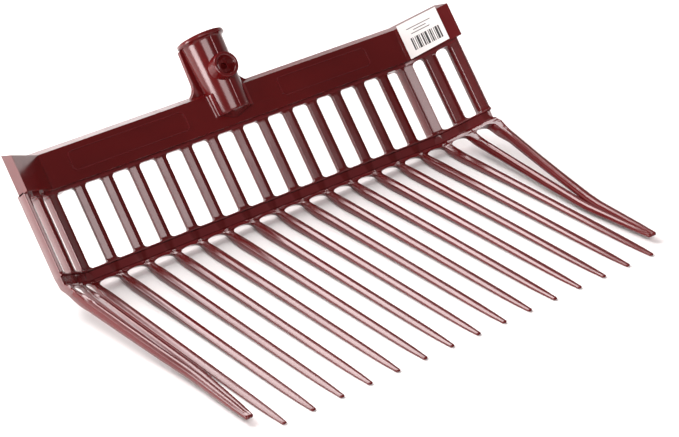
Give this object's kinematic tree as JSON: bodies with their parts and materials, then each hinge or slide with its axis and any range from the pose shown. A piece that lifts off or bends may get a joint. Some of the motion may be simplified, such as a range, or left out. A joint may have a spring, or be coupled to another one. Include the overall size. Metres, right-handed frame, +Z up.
{
  "type": "bedding fork head",
  "caption": "Moulded basket fork head with parallel tines, leaning barred back, folded side wings, a header and a tapered handle socket.",
  "frame": {"origin": "on the ground, in the middle of the head's plan box", "axes": "+Z up; -Y along the tines towards their tips; X across the head"},
  "size_m": [0.406, 0.3452, 0.1351],
  "materials": {
    "moulding": "glossy dark red injection-moulded plastic",
    "label": "white printed film"
  },
  "bodies": {
    "root": {"back_bar_01": "moulding", "back_bar_02": "moulding", "back_bar_03": "moulding", "back_bar_04": "moulding", "back_bar_05": "moulding", "back_bar_06": "moulding", "back_bar_07": "moulding", "back_bar_08": "moulding", "back_bar_09": "moulding", "back_bar_10": "moulding", "back_bar_11": "moulding", "back_bar_12": "moulding", "back_bar_13": "moulding", "back_bar_14": "moulding", "back_bar_15": "moulding", "back_bar_16": "moulding", "back_bar_17": "moulding", "back_bar_18": "moulding", "back_bar_19": "moulding", "cross_rib": "moulding", "cross_rib_left": "moulding", "cross_rib_right": "moulding", "handle_socket": "moulding", "header_left": "moulding", "header_right": "moulding", "header_wing_left": "moulding", "header_wing_right": "moulding", "label": "label", "screw_boss": "moulding", "socket_gusset_left": "moulding", "socket_gusset_right": "moulding", "socket_shelf": "moulding", "tine_01": "moulding", "tine_02": "moulding", "tine_03": "moulding", "tine_04": "moulding", "tine_05": "moulding", "tine_06": "moulding", "tine_07": "moulding", "tine_08": "moulding", "tine_09": "moulding", "tine_10": "moulding", "tine_11": "moulding", "tine_12": "moulding", "tine_13": "moulding", "tine_14": "moulding", "tine_15": "moulding", "tine_16": "moulding", "tine_17": "moulding", "tine_18": "moulding", "tine_19": "moulding"}
  },
  "joints": []
}
